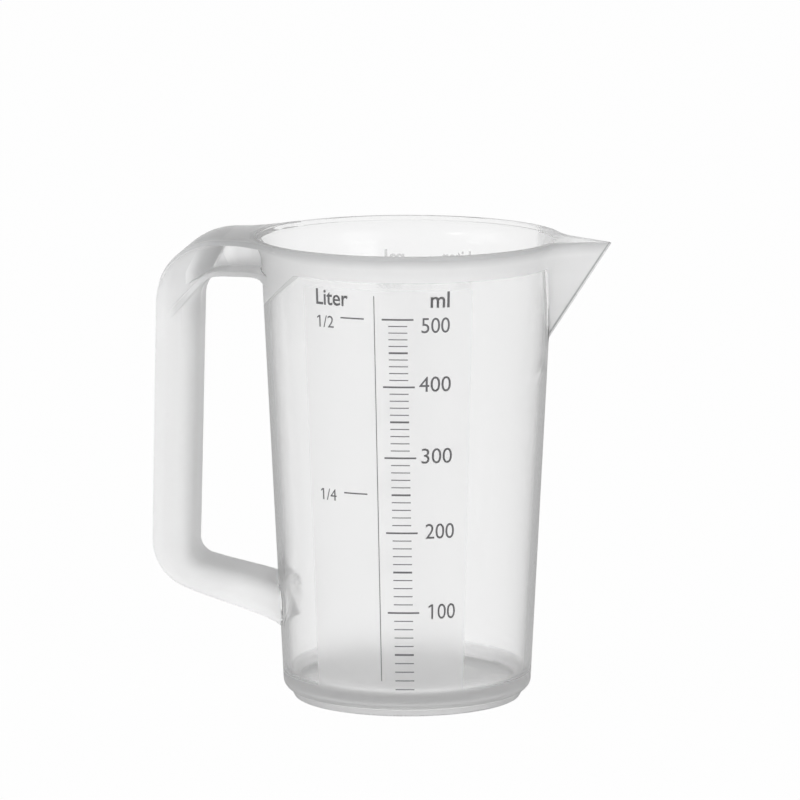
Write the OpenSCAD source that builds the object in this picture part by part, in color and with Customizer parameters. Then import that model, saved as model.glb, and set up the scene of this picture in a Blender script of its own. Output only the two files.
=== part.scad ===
// Measuring jug for half a litre, one moulding in natural polypropylene with printed scales.
// Millimetres. The vessel's axis is Z and the table is at zero. The handle points along -X,
// the spout along +X, and the front scale faces -Y. The moulding is divided where its own
// forms change, so neighbouring solids meet face to face.

/* [Vessel] */
// Height from the table to the rim
jug_h = 137.3; // [126:0.1:160]
// Outer radius of the wall, carried down to the table
wall_r_base = 36.5; // [35:0.1:38]
// Outer radius of the wall, carried up to the rim
wall_r_rim = 43.3; // [41.5:0.1:44.3]
// Wall thickness at the base
wall_t_base = 2.3; // [1.6:0.1:3]
// Wall thickness at the rim
wall_t_rim = 1.7; // [1.2:0.1:2.4]

/* [Base] */
// Height of the inner floor above the table
floor_z = 6.1; // [4.8:0.1:8]
// Thickness of the floor
floor_t = 2.2; // [1.4:0.1:2.4]
// Radius of the fillet between the floor and the wall, inside
floor_fillet = 2.5; // [1:0.1:4]
// How far the ring that the jug stands on lies inside the wall, at its top
foot_in = 1.9; // [1.3:0.1:2.6]
// Width of that ring at its top
foot_t = 2.4; // [1.8:0.1:3.2]
// Height of that ring
foot_h = 2.2; // [1.6:0.1:2.4]
// How far that ring's outer face draws in towards the table
foot_draft = 1.1; // [0.2:0.1:1.4]
// Radius that turns the wall in at its foot
heel_r = 3.3; // [2.9:0.1:4]

/* [Rim] */
// Depth of the flared collar, measured down from the rim
collar_h = 8; // [6.5:0.1:9]
// How far the lip stands out beyond the wall at the rim
lip_out = 2.6; // [1.8:0.1:3.6]
// Height of the lip
lip_h = 1.4; // [1:0.1:2.2]
// Thickness of the lip
lip_t = 1.9; // [1.2:0.1:2.1]
// Rounding of the lip's upper edges
lip_round = 0.4; // [0.2:0.1:0.5]

/* [Spout] */
// How far the spout's tip stands out beyond the lip
spout_out = 15.1; // [11:0.1:20]
// Height of the spout, from where its ridge leaves the wall up to the rim
spout_h = 29.6; // [24:0.1:40]
// Angle between the spout's two walls, seen from above
spout_angle = 60; // [50:1:70]
// How far the tip lies below the rim
spout_drop = 0.8; // [0:0.1:2]
// Thickness of the spout's walls
spout_t = 1.6; // [1.2:0.1:2]
// Rounding of the ridge outside
ridge_round = 1; // [0.6:0.1:1.6]
// Rounding of the channel inside
channel_round = 0.5; // [0.2:0.1:1]

/* [Handle] */
// How far the grip's outer face stands out beyond the lip, at its upper end
grip_out = 27.7; // [26:0.1:35]
// How much further out the grip stands at its lower end
grip_lean = 1.5; // [0:0.1:3]
// Width of the grip
grip_w = 25; // [20:0.5:28]
// Depth of the grip at its upper end
grip_d_top = 12.2; // [11:0.1:14]
// Depth of the grip at its lower end
grip_d_low = 11.8; // [11:0.1:14]
// Corner radius of the grip's section
grip_round = 4; // [3:0.1:5]
// Thickness of the material around the hollow in the grip
grip_t = 2.4; // [1.8:0.1:2.9]
// Outer radius of the upper bend
bend_r = 20.6; // [18:0.1:21]
// Height of the upper arm, over both flanges
arm_h = 11.1; // [10:0.1:12]
// Half width of the upper arm's flanges at the bend
flange_hw = 16.5; // [14:0.1:19]
// Thickness of the upper flange
flange_t = 1.7; // [1.2:0.1:2.2]
// Thickness of the lower flange
low_flange_t = 1.4; // [1:0.1:2]
// Thickness of the web between the flanges
web_t = 2; // [1.4:0.1:3]
// Distance from the grip's outer face to the end of the pockets beside the web
pocket_back = 5; // [4:0.1:6.5]
// Height of the centre of the lower bend
elbow_z = 46.5; // [42:0.1:56]
// Outer radius of the lower bend
elbow_r = 15.5; // [13:0.1:17]
// Inner radius of the lower bend
elbow_inner_r = 5; // [3.5:0.1:6]
// How much lower the centre of the inner radius lies
elbow_offset = 2.1; // [1:0.1:3]
// Slope of the lower arm's upper face, in degrees
arm_slope_top = 16.8; // [14:0.1:20]
// Slope of the lower arm's lower face, in degrees
arm_slope_low = 23; // [21:0.1:26]

/* [Scales] */
// Edge of the cube that one millilitre fills
ml_edge = 10; // [9.8:0.1:10.2]
// Thickness of the printed ink
ink_t = 0.1; // [0.05:0.01:0.2]
// Turn of the front scale about the axis, in degrees
front_turn = -1.7; // [-5:0.1:5]
// How far the front scale leans towards the handle at its top
front_lean = 1.6; // [0:0.1:2]
// Width of the back scale as a part of the front scale's width
back_share = 0.7; // [0.5:0.05:1]
// Length of the hundred marks
hundred_w = 9.2; // [7:0.1:11]
// Height of the hundred marks
hundred_line = 0.5; // [0.3:0.05:0.8]
// Length of the fifty and ten marks
ten_w = 5.5; // [4:0.1:7]
// Height of the fifty marks
fifty_line = 0.55; // [0.3:0.05:0.8]
// Height of the ten marks
ten_line = 0.28; // [0.15:0.01:0.5]
// Gap between the litre marks and the scale
litre_gap = 5.3; // [4:0.1:7]
// Length of the litre marks
litre_w = 7.3; // [5:0.1:9]
// Height of the litre marks
litre_line = 0.4; // [0.2:0.05:0.8]
// Gap between the dividing line and the scale
divider_x = 2.2; // [1:0.1:3]
// Width of the dividing line
divider_w = 0.24; // [0.15:0.01:0.5]
// Height of the dividing line's lower end
divider_z = 11.2; // [9.5:0.1:20]
// Gap between the dividing line's upper end and the collar
divider_gap = 3.8; // [1:0.1:6]

/* [Hidden] */
$fn = 96;

natural = [0.92, 0.92, 0.92, 0.6];
frosted = [0.86, 0.86, 0.86, 0.75];
ink = [0.32, 0.32, 0.33];

// Overrun of cuts past the faces they open
over = wall_t_rim / 3;

// What stands on the wall or out from it
foot_r = wall_r_base - foot_in;
lip_r = wall_r_rim + lip_out;
spout_reach = lip_r + spout_out;
spout_foot_z = jug_h - spout_h;
handle_reach = lip_r + grip_out;

// The wall's outer and inner radius at a height
function wall_r(z) = wall_r_base + (wall_r_rim - wall_r_base) * z / jug_h;
function wall_t(z) = wall_t_base + (wall_t_rim - wall_t_base) * z / jug_h;
function bore_r(z) = wall_r(z) - wall_t(z);

// Heights where the vessel changes form
heel_cx = wall_r(floor_z) - heel_r;
heel_turn = acos((foot_r - heel_cx) / heel_r);
heel_z = foot_h + heel_r * sin(heel_turn);
wall_z0 = floor_z + floor_fillet;
wall_z1 = jug_h - collar_h;
lip_z = jug_h - lip_h;

// The collar's flare is an arc that leaves the wall upright and ends at the lip
flare_h = lip_z - wall_z1;
flare_w = lip_r - wall_r(wall_z1);
flare_r = (flare_h * flare_h + flare_w * flare_w) / (2 * flare_w);
flare_cx = wall_r(wall_z1) + flare_r;

// The spout's side planes lean on the ridge and keep one angle at every height
half = spout_angle / 2;
ridge_sharp = ridge_round * (1 / sin(half) - 1);
spout_foot_x = wall_r(spout_foot_z) + ridge_sharp;
ridge_run = (spout_reach + ridge_sharp - spout_foot_x) / (jug_h - spout_foot_z);
function ridge_x(z) = spout_foot_x + (z - spout_foot_z) * ridge_run;
// How far back the channel's ridge lies for walls of the stated thickness
channel_back = spout_t * sqrt(1 + pow(ridge_run * sin(half), 2)) / sin(half);
spout_root_x = wall_r_base - wall_t_base - spout_t;
spout_low_z = spout_foot_z - collar_h;

// The upper bend, its two arcs about one upright plane
bend_x = bend_r - handle_reach;
bend_z = jug_h - bend_r;
bend_inner_r = handle_reach - grip_d_top + bend_x;
bend_inner_z = jug_h - arm_h - bend_inner_r;
bend_steps = 12;

// The pockets beside the web end in a hollow sweep and on a slope
pocket_r = (grip_w - web_t) / 2;
pocket_x = pocket_back + pocket_r - handle_reach;
pocket_mid = (bend_inner_r + low_flange_t) * sin(45);

// The lower bend and the arm that runs to the wall
grip_low_x = -handle_reach - grip_lean;
elbow_x = grip_low_x + elbow_r;
elbow_inner_x = grip_low_x + grip_d_low + elbow_inner_r;
elbow_inner_z = elbow_z - elbow_offset;
elbow_steps = 10;
arm_end_x = -wall_r_base + wall_t_base + grip_t;

corner_steps = 5;

// A point on a circle in the XZ plane
function on_arc(cx, cz, r, a) = [cx + r * cos(a), cz + r * sin(a)];
// The point of a line through p that falls at a slope, at a place x
function on_slope(p, slope, x) = [x, p[1] - (x - p[0]) * tan(slope)];
function unit(v) = v / norm(v);

// One ring of the handle: a rounded rectangle between an outer and an inner point
function ring(o, i, w, r, inset = 0) =
    let (u = unit(o - i), m = (o + i) / 2, h = norm(o - i) / 2 - inset,
        b = w / 2 - inset, c = max(r - inset, r / corner_steps))
    [for (q = [0:3], s = [0:corner_steps])
        let (a = 90 * (q + s / corner_steps),
            sx = (q == 0 || q == 3) ? 1 : -1,
            sy = (q < 2) ? 1 : -1,
            d = sx * (h - c) + c * cos(a),
            y = sy * (b - c) + c * sin(a))
        [m[0] + u[0] * d, y, m[1] + u[1] * d]];

// Faces of a skin over rings of n points, with both ends closed
function skin_faces(n, k) = concat(
    [[for (j = [0:n - 1]) j]],
    [for (i = [0:k - 2], j = [0:n - 1], e = [0, 1])
        let (a = i * n + j, b = i * n + (j + 1) % n)
        e == 0 ? [a, a + n, b + n] : [a, b + n, b]],
    [[for (j = [n - 1:-1:0]) (k - 1) * n + j]]);

module skin(rings) {
    n = len(rings[0]);
    polyhedron(points = [for (r = rings) each r], faces = skin_faces(n, len(rings)),
        convexity = 6);
}

// The pairs of outer and inner points that the handle follows
function bend_pair(t) = let (a = 90 + 90 * t)
    [on_arc(bend_x, bend_z, bend_r, a), on_arc(bend_x, bend_inner_z, bend_inner_r, a)];
function elbow_pair(t) = [
    on_arc(elbow_x, elbow_z, elbow_r, 180 + t * (90 - arm_slope_low)),
    on_arc(elbow_inner_x, elbow_inner_z, elbow_inner_r, 180 + t * (90 - arm_slope_top))];
arm_start = elbow_pair(1);
arm_end = [on_slope(arm_start[0], arm_slope_low, arm_end_x),
    on_slope(arm_start[1], arm_slope_top, arm_end_x)];

bend_pairs = [for (i = [0:bend_steps]) bend_pair(i / bend_steps)];
elbow_pairs = [for (i = [0:elbow_steps]) elbow_pair(i / elbow_steps)];
grip_steps = 4;
grip_pairs = [for (i = [0:grip_steps]) let (t = i / grip_steps)
    [for (e = [0, 1]) (1 - t) * bend_pair(1)[e] + t * elbow_pair(0)[e]]];

// The hollow runs past both ends of a tube by the overrun
function past(p, q, e) = p[e] + over * unit(p[e] - q[e]);
function longer(pairs) = let (k = len(pairs) - 1)
    concat([[for (e = [0, 1]) past(pairs[0], pairs[1], e)]], pairs,
        [[for (e = [0, 1]) past(pairs[k], pairs[k - 1], e)]]);

module handle_skin(pairs, inset = 0) {
    skin([for (p = pairs) ring(p[0], p[1], grip_w, grip_round, inset)]);
}

module handle_tube(pairs) {
    difference() {
        handle_skin(pairs);
        handle_skin(longer(pairs), inset = grip_t);
    }
}

// The vessel's outer form as one solid, which the spout and the handle stop at
module vessel_outside() {
    rotate_extrude()
        difference() {
            polygon([[0, 0], [wall_r(0), 0], [wall_r(wall_z1), wall_z1],
                [lip_r, wall_z1], [lip_r, jug_h + over], [0, jug_h + over]]);
            intersection() {
                translate([flare_cx, wall_z1]) circle(r = flare_r);
                translate([wall_r(wall_z1) - over, wall_z1])
                    square([flare_w + 2 * over, flare_h]);
            }
        }
}

// The wedge between the spout's side planes, with its ridge moved back and rounded
function wedge_row(z, back, round) =
    let (c = ridge_x(z) - back - round / sin(half),
        y = (ridge_x(z) - back - spout_root_x) * tan(half))
    concat([[spout_root_x, -y, z]],
        [for (s = [-corner_steps:corner_steps])
            let (a = s / corner_steps * (90 - half)) [c + round * cos(a), round * sin(a), z]],
        [[spout_root_x, y, z]]);

module spout_wedge(back, round, low_z, high_z) {
    skin([wedge_row(low_z, back, round), wedge_row(high_z, back, round)]);
}

module spout_channel() {
    spout_wedge(channel_back, channel_round, spout_low_z, jug_h + lip_h);
}

module foot_ring() {
    color(frosted)
        rotate_extrude()
            polygon([[foot_r - foot_t, 0], [foot_r - foot_draft, 0], [foot_r, foot_h],
                [foot_r - foot_t, foot_h]]);
}

module base() {
    in_r = foot_r - foot_t;
    color(natural)
        rotate_extrude()
            difference() {
                union() {
                    intersection() {
                        translate([heel_cx, heel_z]) circle(r = heel_r);
                        translate([in_r, foot_h]) square([heel_r + foot_t, heel_z]);
                    }
                    translate([in_r, foot_h]) square([heel_cx - in_r, heel_z - foot_h]);
                    translate([0, floor_z - floor_t]) square([heel_cx, floor_t]);
                    polygon([[in_r, heel_z], [heel_cx + heel_r, heel_z],
                        [wall_r(wall_z0), wall_z0], [in_r, wall_z0]]);
                }
                inner_floor();
            }
}

// Section of the space just above the floor, with its rounded corner
module inner_floor() {
    fillet_x = bore_r(wall_z0) - floor_fillet;
    translate([0, floor_z]) square([fillet_x, floor_fillet + over]);
    translate([fillet_x, floor_z + floor_fillet]) circle(r = floor_fillet);
    translate([0, floor_z + floor_fillet]) square([bore_r(wall_z0), over]);
}

module side_wall() {
    color(natural)
        difference() {
            rotate_extrude()
                polygon([[bore_r(wall_z0), wall_z0], [wall_r(wall_z0), wall_z0],
                    [wall_r(wall_z1), wall_z1], [bore_r(wall_z1), wall_z1]]);
            spout_channel();
        }
}

module collar() {
    color(frosted)
        difference() {
            rotate_extrude()
                intersection() {
                    translate([flare_cx, wall_z1])
                        difference() {
                            circle(r = flare_r + wall_t(wall_z1));
                            circle(r = flare_r);
                        }
                    translate([bore_r(wall_z1) - over, wall_z1])
                        square([lip_r - bore_r(wall_z1) + over, flare_h]);
                }
            spout_channel();
        }
}

module rim_lip() {
    inner = lip_r - lip_t;
    color(frosted)
        difference() {
            rotate_extrude() {
                translate([inner, lip_z]) square([lip_t, lip_h - lip_round]);
                translate([inner + lip_round, lip_z]) square([lip_t - 2 * lip_round, lip_h]);
                for (x = [inner + lip_round, lip_r - lip_round])
                    translate([x, jug_h - lip_round]) circle(r = lip_round);
            }
            spout_channel();
        }
}

module spout() {
    droop = atan(spout_drop / (spout_reach - lip_r));
    color(natural)
        difference() {
            spout_wedge(0, ridge_round, spout_low_z, jug_h);
            spout_channel();
            vessel_outside();
            translate([lip_r * cos(half / 2), -lip_r / 2, jug_h])
                rotate([0, droop, 0]) cube([lip_r, lip_r, lip_h]);
        }
}

// Plan of a flange: straight at the bend, then a fillet that runs out along a circle
module flange_plan(r) {
    fillet = (bend_x * bend_x + flange_hw * flange_hw - r * r) / (2 * (r - flange_hw));
    cy = flange_hw + fillet;
    touch_x = bend_x * r / (r + fillet);
    touch_y = cy * r / (r + fillet);
    difference() {
        translate([bend_x, -touch_y]) square([touch_x - bend_x, 2 * touch_y]);
        for (side = [-1, 1]) translate([bend_x, side * cy]) circle(r = fillet);
    }
}

module handle_top_flange() {
    color(frosted)
        difference() {
            translate([0, 0, jug_h - flange_t]) linear_extrude(flange_t) flange_plan(lip_r);
            vessel_outside();
        }
}

module handle_lower_flange() {
    low_z = jug_h - arm_h;
    color(frosted)
        difference() {
            translate([0, 0, low_z]) linear_extrude(low_flange_t) flange_plan(wall_r(low_z));
            vessel_outside();
        }
}

module handle_web() {
    color(frosted)
        difference() {
            translate([bend_x, -web_t / 2, jug_h - arm_h + low_flange_t])
                cube([-bend_x - bore_r(0), web_t, arm_h - low_flange_t - flange_t]);
            vessel_outside();
        }
}

// The bend's flanges draw in to the width of the grip
function flange_w(i) = 2 * flange_hw + (grip_w - 2 * flange_hw) * i / bend_steps;
function outer_strip(t) = [for (i = [0:bend_steps])
    let (p = bend_pairs[i], u = unit(p[0] - p[1])) ring(p[0], p[0] - t * u, flange_w(i), t / 3)];
function inner_strip(t) = [for (i = [0:bend_steps])
    let (p = bend_pairs[i], u = unit(p[0] - p[1])) ring(p[1] + t * u, p[1], flange_w(i), t / 3)];

module handle_bend() {
    color(frosted)
        union() {
            skin(outer_strip(flange_t));
            skin(inner_strip(low_flange_t));
            skin([for (p = bend_pairs) ring(p[0], p[1], web_t, web_t / corner_steps)]);
            difference() {
                handle_skin(bend_pairs);
                for (side = [-1, 1]) pocket(side);
            }
        }
}

// The pocket beside the web: in plan a hollow sweep, from the side a slope at its lower end
module pocket(side) {
    cy = web_t / 2 + pocket_r;
    intersection() {
        translate([0, 0, bend_z])
            linear_extrude(2 * bend_r) {
                translate([pocket_x, side * cy]) circle(r = pocket_r);
                translate([pocket_x, side * cy - pocket_r])
                    square([bend_x - pocket_x + over, 2 * pocket_r]);
            }
        rotate([90, 0, 0])
            translate([0, 0, -grip_w])
                linear_extrude(2 * grip_w)
                    polygon([[bend_x + over, bend_inner_z + bend_inner_r],
                        [bend_x - pocket_mid, bend_inner_z + pocket_mid],
                        [pocket_x - pocket_r, bend_z + grip_t],
                        [pocket_x - pocket_r - over, jug_h + bend_r],
                        [bend_x + over, jug_h + bend_r]]);
    }
}

module handle_grip() {
    color(frosted) handle_tube(grip_pairs);
}

module handle_elbow() {
    color(frosted) handle_tube(elbow_pairs);
}

module handle_lower_arm() {
    color(frosted)
        difference() {
            handle_tube([arm_start, arm_end]);
            vessel_outside();
        }
}

// Height of the surface of a volume in millilitres, from the volume of the tapered bore
bore_rise = (bore_r(jug_h) - bore_r(0)) / jug_h;
function level_z(v) =
    (pow(pow(bore_r(floor_z), 3) + 3 * bore_rise * v * pow(ml_edge, 3) / PI, 1 / 3)
        - bore_r(0)) / bore_rise;
function volume(z) = PI * (pow(bore_r(z), 3) - pow(bore_r(floor_z), 3))
    / (3 * bore_rise * pow(ml_edge, 3));
// The scale ends at the last full hundred below the collar
top_ml = 100 * floor(volume(wall_z1 - divider_gap) / 100);

// Angle on the wall for a length round it, at a height
function round_wall(x, z) = x / wall_r(z) * 180 / PI;

function lean_x(z, lean) = lean * (1 / 2 - z / jug_h);

// A printed mark: a thin strip on the wall from x0 to x1 about the scale's middle
module mark(z, x0, x1, line, turn, lean) {
    z0 = z - line / 2;
    z1 = z + line / 2;
    color(ink)
        rotate([0, 0, turn + round_wall(x0 + lean_x(z, lean), z)])
            rotate_extrude(angle = round_wall(x1 - x0, z))
                polygon([[wall_r(z0), z0], [wall_r(z0) + ink_t, z0],
                    [wall_r(z1) + ink_t, z1], [wall_r(z1), z1]]);
}

front = -90 + front_turn;
back = 90;

module hundred_marks(turn, share, lean) {
    for (v = [100:100:top_ml])
        mark(level_z(v), 0, hundred_w * share, hundred_line, turn, lean);
}

ten_x = (hundred_w - ten_w) / 2;

module fifty_marks(turn, share, lean) {
    for (v = [50:100:top_ml])
        mark(level_z(v), ten_x * share, (ten_x + ten_w) * share, fifty_line, turn, lean);
}

module ten_marks(turn, share, lean) {
    for (v = [10:10:top_ml])
        if (v % 50 != 0)
            mark(level_z(v), ten_x * share, (ten_x + ten_w) * share, ten_line, turn, lean);
}

module litre_marks(turn, share, lean) {
    for (v = [250, 500])
        if (v <= top_ml)
            mark(level_z(v), -(litre_gap + litre_w) * share, -litre_gap * share, litre_line,
                turn, lean);
}

// The dividing line is the shell of ink where an upright slab crosses it
module divider(turn, share, lean) {
    z0 = divider_z;
    z1 = wall_z1 - divider_gap;
    color(ink)
        intersection() {
            rotate_extrude()
                polygon([[wall_r(z0), z0], [wall_r(z0) + ink_t, z0],
                    [wall_r(z1) + ink_t, z1], [wall_r(z1), z1]]);
            rotate([0, 0, turn])
                translate([0, -divider_x * share, jug_h / 2])
                    rotate([atan(lean / jug_h), 0, 0])
                        translate([0, -divider_w / 2, -jug_h])
                            cube([wall_r_rim + collar_h, divider_w, 2 * jug_h]);
        }
}

foot_ring();
base();
side_wall();
collar();
rim_lip();
spout();
handle_top_flange();
handle_web();
handle_lower_flange();
handle_bend();
handle_grip();
handle_elbow();
handle_lower_arm();
hundred_marks(front, 1, front_lean);  // front_hundred_marks
fifty_marks(front, 1, front_lean);  // front_fifty_marks
ten_marks(front, 1, front_lean);  // front_ten_marks
litre_marks(front, 1, front_lean);  // front_litre_marks
divider(front, 1, front_lean);  // front_divider
hundred_marks(back, back_share, 0);  // back_hundred_marks
fifty_marks(back, back_share, 0);  // back_fifty_marks
ten_marks(back, back_share, 0);  // back_ten_marks
litre_marks(back, back_share, 0);  // back_litre_marks
divider(back, back_share, 0);  // back_divider
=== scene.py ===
import math

import bmesh
import bpy
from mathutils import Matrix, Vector


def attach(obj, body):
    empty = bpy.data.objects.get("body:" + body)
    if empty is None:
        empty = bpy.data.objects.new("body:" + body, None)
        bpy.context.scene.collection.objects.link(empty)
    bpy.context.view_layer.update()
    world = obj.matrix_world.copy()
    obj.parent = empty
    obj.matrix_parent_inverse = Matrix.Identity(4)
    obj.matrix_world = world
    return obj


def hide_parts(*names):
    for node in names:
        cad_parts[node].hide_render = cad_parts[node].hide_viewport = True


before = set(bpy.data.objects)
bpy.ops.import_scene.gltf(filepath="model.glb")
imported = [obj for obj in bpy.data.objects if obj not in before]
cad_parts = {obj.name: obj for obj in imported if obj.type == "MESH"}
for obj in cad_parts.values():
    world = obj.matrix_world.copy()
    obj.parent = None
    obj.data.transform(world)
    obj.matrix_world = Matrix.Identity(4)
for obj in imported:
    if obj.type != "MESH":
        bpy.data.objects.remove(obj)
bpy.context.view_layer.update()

# The photograph's viewpoint: a long lens, a little to the right of the scales and looking down
# on the rim, so that its far side shows above the near one.
ROUND_TO_RIGHT = math.radians(7.5)
LOOKING_DOWN = 0.1636
camera = bpy.data.objects.new("camera", bpy.data.cameras.new("camera"))
bpy.context.scene.collection.objects.link(camera)
camera.data.lens = 283.2
camera.data.sensor_width = 36.0
camera.data.clip_end = 20.0
camera.data.shift_x = -0.0089
camera.location = (0.2394, -1.8186, 0.3911)
camera.rotation_euler = (math.radians(90) - LOOKING_DOWN, 0, ROUND_TO_RIGHT)
bpy.context.scene.camera = camera
bpy.context.scene.view_settings.view_transform = "Standard"
# light crosses the jug's thin clear walls many times before it reaches the camera
bpy.context.scene.cycles.max_bounces = 48
bpy.context.scene.cycles.diffuse_bounces = 16
bpy.context.scene.cycles.glossy_bounces = 28
bpy.context.scene.cycles.transmission_bounces = 32


# The jug: one injection moulding in natural polypropylene. The tapered wall is polished, and the
# flared collar under the upright lip and the handle are left matt by the tool's spark erosion.
# The grip, the lower bend and the lower arm are blown hollow by gas while the plastic is soft.
#
# First the vessel. Lengths are in millimetres, and each mesh is scaled to metres when it is done.
MM = 0.001
H = 137.3
FOOT_R, TAPER = 36.5, 0.0495        # the wall's radius at the table, and how it grows with height
FOOT_T, THINNING = 2.3, 0.6         # the wall's thickness there, and what it loses up to the rim
COLLAR_Z, LIP_Z = 129.3, 135.9      # where the collar's flare begins, and where the lip stands up
FLARE_R = 8.76                      # the radius of the flare's curve
LIP_R, LIP_IN_R = 45.9, 44.0        # the lip's outer and inner radius
RIDGE_Z, TIP_X = 107.7, 61.9        # the spout's ridge leaves the wall at this height, for the tip
RIDGE_PROUD, RIDGE_T = 1.0, 3.75    # how far it stands off the wall there, and its thickness
RIDGE_SOFT, RIDGE_SOFT_IN = 0.5, 0.16    # its rounding, outside and inside
HALF_V = math.radians(30)           # half the angle between the spout's two walls
SPOUT_FROM_Z, SPOUT_FULL_Z = 88, 104    # the columns of faces draw together between these
SPOUT_REACH = 0.5                   # the wall is round beyond this many radians from the tip
CREASE_SOFT, CREASE_SOFT_LIP = 0.5, 4.5     # the creases' blend, on the wall and at the lip
TIP_FALL, FALL_X, FALL_RUN = 0.8, 43.8, 17.2    # the rim's fall to the tip: from x, over a run
FALL_REACH = 0.3                    # and within this many radians
COLS = 240                          # faces round the vessel


def lerp(a, b, t):
    return a + (b - a) * t


def ramp(x, a, b):
    """0 up to a and 1 from b on, with a smooth rise between them"""
    t = min(1.0, max(0.0, (x - a) / (b - a)))
    return t * t * (3 - 2 * t)


def wall_r(z):
    return FOOT_R + TAPER * z


def wall_t(z):
    return FOOT_T - THINNING * z / H


def outer_r(z):
    if z <= COLLAR_Z:
        return wall_r(z)
    if z <= LIP_Z:
        return wall_r(COLLAR_Z) + FLARE_R - math.sqrt(FLARE_R ** 2 - (z - COLLAR_Z) ** 2)
    return LIP_R


def inner_r(z):
    if z <= COLLAR_Z:
        return wall_r(z) - wall_t(z)
    if z <= LIP_Z:
        r = FLARE_R + wall_t(COLLAR_Z)
        return wall_r(COLLAR_Z) + FLARE_R - math.sqrt(r ** 2 - (z - COLLAR_Z) ** 2)
    return LIP_IN_R


def ridge_x(z, inside):
    """the straight ridge in which the spout's two flat walls meet, from the wall out to the tip"""
    start = wall_r(RIDGE_Z)
    x = start + RIDGE_PROUD + (z - RIDGE_Z) * (TIP_X - start - RIDGE_PROUD) / (H - RIDGE_Z)
    return x - RIDGE_T if inside else x


def vee_r(angle, z, inside):
    """the spout's flat wall, as a radius at an angle from the tip; its rounding at the ridge
    depends on the radius, so this is drawn nearer in a few rounds"""
    slope = math.tan(HALF_V)
    x = ridge_x(z, inside)
    soft = RIDGE_SOFT_IN if inside else RIDGE_SOFT
    r = x
    for _ in range(12):
        r = (x - math.sqrt((r * math.sin(angle)) ** 2 + soft * soft) / slope) / math.cos(angle)
    return r


def swell(a, b, k):
    """the larger of two radii, with a blend of width k where they meet"""
    h = max(k - abs(a - b), 0.0) / k
    return max(a, b) + h * h * k / 4


def crease(z, inside):
    """the angle at which the spout's flat wall meets the round one"""
    r = (inner_r if inside else outer_r)(z)
    s = ridge_x(z, inside) * math.sin(HALF_V) / r
    return math.asin(min(1.0, s)) - HALF_V


# The profile goes from the middle of the underside out round the foot ring and the heel, up the
# wall, over the lip and down inside. Each point is a radius, a height and a kind: rows of the
# kinds out, top and in are pulled out into the spout, and those of the kind keep stay round.
HEEL_X, HEEL_Z, HEEL_R = 33.48, 5.3, 3.3        # the heel's rounding
FLOOR_Z, FILLET_Z, FILLET_R = 6.2, 9.0, 2.6     # the floor inside, and its fillet to the wall
profile = [(0, 3.9, "keep"), (20, 3.9, "keep"), (31.4, 3.9, "keep"), (31.85, 3.7, "keep"),
           (32.1, 3.2, "keep"), (32.15, 0.5, "keep"), (32.4, 0.12, "keep"), (32.7, 0, "keep"),
           (33.3, 0, "keep"), (33.55, 0.12, "keep"), (33.75, 0.5, "keep"), (34.5, 1.9, "keep"),
           (34.75, 2.0, "keep")]
for i in range(9):
    a = math.radians(lerp(-66, 0, i / 8))
    profile.append((HEEL_X + HEEL_R * math.cos(a), HEEL_Z + HEEL_R * math.sin(a), "keep"))
for first_z, last_z, rows in ((6, 102, 32), (102, COLLAR_Z, 23), (COLLAR_Z, LIP_Z, 8)):
    for i in range(1, rows + 1):
        z = lerp(first_z, last_z, i / rows)
        profile.append((outer_r(z), z, "out"))
profile += [(LIP_R, LIP_Z + 0.12, "out"), (LIP_R, H - 0.35, "out"), (LIP_R - 0.12, H - 0.1, "top"),
            (LIP_R - 0.35, H, "top"), (LIP_IN_R + 0.35, H, "top"), (LIP_IN_R + 0.12, H - 0.1, "top"),
            (LIP_IN_R, H - 0.35, "in"), (LIP_IN_R, LIP_Z + 0.12, "in"), (inner_r(LIP_Z), LIP_Z, "in")]
for first_z, last_z, rows in ((LIP_Z, COLLAR_Z, 8), (COLLAR_Z, 98, 26), (98, FILLET_Z, 29)):
    for i in range(1, rows + 1):
        z = lerp(first_z, last_z, i / rows)
        profile.append((inner_r(z), z, "in"))
for i in range(1, 7):
    a = math.radians(lerp(0, -90, i / 6))
    profile.append((inner_r(FILLET_Z) - FILLET_R + FILLET_R * math.cos(a),
                    FLOOR_Z + FILLET_R + FILLET_R * math.sin(a), "keep"))
profile += [(20, FLOOR_Z, "keep"), (0, FLOOR_Z, "keep")]

bm = bmesh.new()
row = bm.verts.layers.int.new("row")
line = []
for i, (r, z, kind) in enumerate(profile):
    v = bm.verts.new((r, 0, z))
    v[row] = i
    line.append(v)
edges = [bm.edges.new(pair) for pair in zip(line, line[1:])]
bmesh.ops.spin(bm, geom=line + edges, cent=(0, 0, 0), axis=(0, 0, 1), angle=math.radians(360),
               steps=COLS, use_merge=True, use_duplicate=False)
bmesh.ops.remove_doubles(bm, verts=bm.verts, dist=0.0001)

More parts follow.
